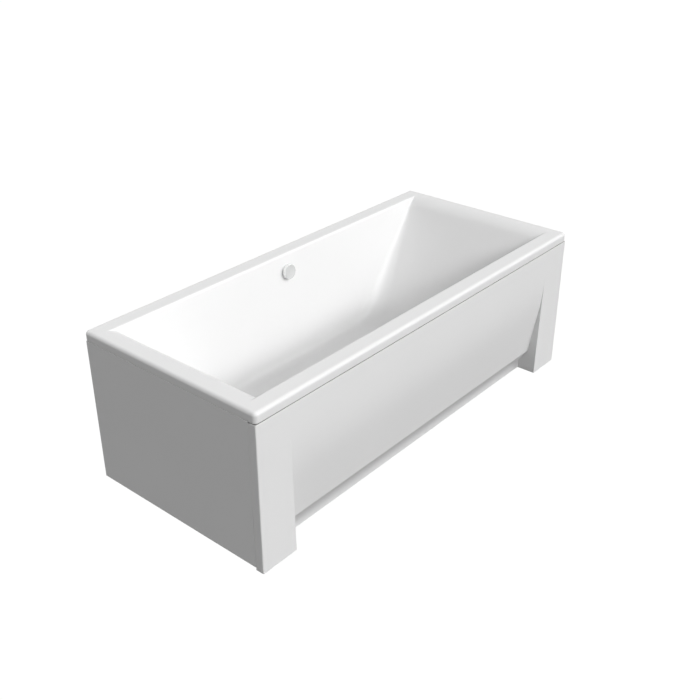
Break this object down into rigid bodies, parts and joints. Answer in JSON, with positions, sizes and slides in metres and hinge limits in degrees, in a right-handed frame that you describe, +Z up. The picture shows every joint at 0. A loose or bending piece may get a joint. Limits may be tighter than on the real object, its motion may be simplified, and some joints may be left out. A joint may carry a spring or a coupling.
{
  "type": "rectangular panelled bathtub",
  "caption": "Straight double-ended white bathtub with a down-turned rim, a curved-in front panel between square legs, an end panel, adjustable feet and a pop-up waste worked by a knob.",
  "frame": {"origin": "on the floor under the middle of the tub", "axes": "+X along the tub towards its right end, +Y towards the wall behind it, +Z up; the panelled front faces -Y"},
  "size_m": [1.8, 0.8, 0.6],
  "materials": {
    "acrylic": "gloss white acrylic sheet",
    "panel_acrylic": "gloss white moulded panel",
    "glass_fibre": "rough sprayed glass-fibre resin",
    "chipboard": "chipboard",
    "softwood": "planed softwood",
    "zinc_steel": "zinc-plated pressed steel",
    "screw_steel": "zinc-plated fasteners",
    "stainless": "stainless steel",
    "chrome": "polished chrome",
    "brass": "turned brass",
    "grey_nylon": "dark moulded plastic",
    "white_pp": "white moulded polypropylene",
    "hose_plastic": "grey flexible plastic",
    "rubber": "black rubber"
  },
  "bodies": {
    "tub": {"bath_shell": "acrylic", "glass_fibre_backing": "glass_fibre", "base_board": "chipboard", "rim_batten_front": "softwood", "rim_batten_back": "softwood", "rim_batten_left": "softwood", "rim_batten_right": "softwood", "cradle_rail_left": "zinc_steel", "cradle_rail_right": "zinc_steel", "rail_screws": "screw_steel", "thread_nuts": "screw_steel", "lock_nuts": "screw_steel", "front_panel": "panel_acrylic", "end_panel": "panel_acrylic", "corner_bolts": "screw_steel", "corner_nuts": "screw_steel", "panel_clips_front": "zinc_steel", "panel_clips_left": "zinc_steel", "clip_screws": "screw_steel", "plinth_brackets": "zinc_steel", "bracket_screws": "screw_steel", "wall_bracket_left": "zinc_steel", "wall_bracket_right": "zinc_steel", "overflow_face_ring": "chrome", "overflow_gasket": "rubber", "overflow_body": "white_pp", "overflow_screws": "stainless", "overflow_hose": "hose_plastic", "hose_nut_upper": "grey_nylon", "hose_nut_lower": "grey_nylon", "bowden_cable": "grey_nylon", "waste_flange": "chrome", "waste_gasket_upper": "rubber", "waste_gasket_lower": "rubber", "waste_body": "white_pp", "lever_pin": "stainless", "trap_bowl": "white_pp", "trap_cap": "white_pp", "trap_inlet_nut": "white_pp", "trap_outlet_nut": "white_pp", "outlet_pipe": "white_pp"},
    "knob": {"overflow_knob": "chrome", "knob_spindle": "brass", "cable_drum": "grey_nylon"},
    "plug": {"waste_plug": "chrome", "plug_seal": "rubber"},
    "lever": {"plug_lever": "grey_nylon"},
    "pad_front_left": {"foot_pad_front_left": "grey_nylon"},
    "stud_front_left": {"foot_stud_front_left": "screw_steel"},
    "pad_front_right": {"foot_pad_front_right": "grey_nylon"},
    "stud_front_right": {"foot_stud_front_right": "screw_steel"},
    "pad_back_left": {"foot_pad_back_left": "grey_nylon"},
    "stud_back_left": {"foot_stud_back_left": "screw_steel"},
    "pad_back_right": {"foot_pad_back_right": "grey_nylon"},
    "stud_back_right": {"foot_stud_back_right": "screw_steel"}
  },
  "joints": [
    {"name": "knob_turn", "type": "hinge", "parent": "tub", "child": "knob", "pos_m": [0, 0.32425, 0.527], "axis": [0, -0.996, 0.0889], "range_deg": [0, 110]},
    {"name": "plug_lift", "type": "slide", "parent": "tub", "child": "plug", "axis": [0, 0, 1], "range_m": [0, 0.01]},
    {"name": "lever_rock", "type": "hinge", "parent": "tub", "child": "lever", "pos_m": [0, 0.018, 0.1005], "axis": [-1, 0, 0], "range_deg": [0, 32.3]},
    {"name": "foot_travel_front_left", "type": "slide", "parent": "tub", "child": "pad_front_left", "axis": [0, 0, 1], "range_m": [-0.008, 0.008]},
    {"name": "foot_turn_front_left", "type": "hinge", "parent": "pad_front_left", "child": "stud_front_left", "pos_m": [-0.33, -0.26, 0.03], "axis": [0, 0, 1], "range_deg": [-1800, 1800]},
    {"name": "foot_travel_front_right", "type": "slide", "parent": "tub", "child": "pad_front_right", "axis": [0, 0, 1], "range_m": [-0.008, 0.008]},
    {"name": "foot_turn_front_right", "type": "hinge", "parent": "pad_front_right", "child": "stud_front_right", "pos_m": [0.33, -0.26, 0.03], "axis": [0, 0, 1], "range_deg": [-1800, 1800]},
    {"name": "foot_travel_back_left", "type": "slide", "parent": "tub", "child": "pad_back_left", "axis": [0, 0, 1], "range_m": [-0.008, 0.008]},
    {"name": "foot_turn_back_left", "type": "hinge", "parent": "pad_back_left", "child": "stud_back_left", "pos_m": [-0.33, 0.26, 0.03], "axis": [0, 0, 1], "range_deg": [-1800, 1800]},
    {"name": "foot_travel_back_right", "type": "slide", "parent": "tub", "child": "pad_back_right", "axis": [0, 0, 1], "range_m": [-0.008, 0.008]},
    {"name": "foot_turn_back_right", "type": "hinge", "parent": "pad_back_right", "child": "stud_back_right", "pos_m": [0.33, 0.26, 0.03], "axis": [0, 0, 1], "range_deg": [-1800, 1800]}
  ],
  "couplings": [
    {"joint": "plug_lift", "follows": "knob_turn", "m_per_rad": 0.0052},
    {"joint": "lever_rock", "follows": "knob_turn", "ratio": 0.29323},
    {"joint": "foot_turn_front_left", "follows": "foot_travel_front_left", "rad_per_m": 3590.4},
    {"joint": "foot_turn_front_right", "follows": "foot_travel_front_right", "rad_per_m": 3590.4},
    {"joint": "foot_turn_back_left", "follows": "foot_travel_back_left", "rad_per_m": 3590.4},
    {"joint": "foot_turn_back_right", "follows": "foot_travel_back_right", "rad_per_m": 3590.4}
  ]
}
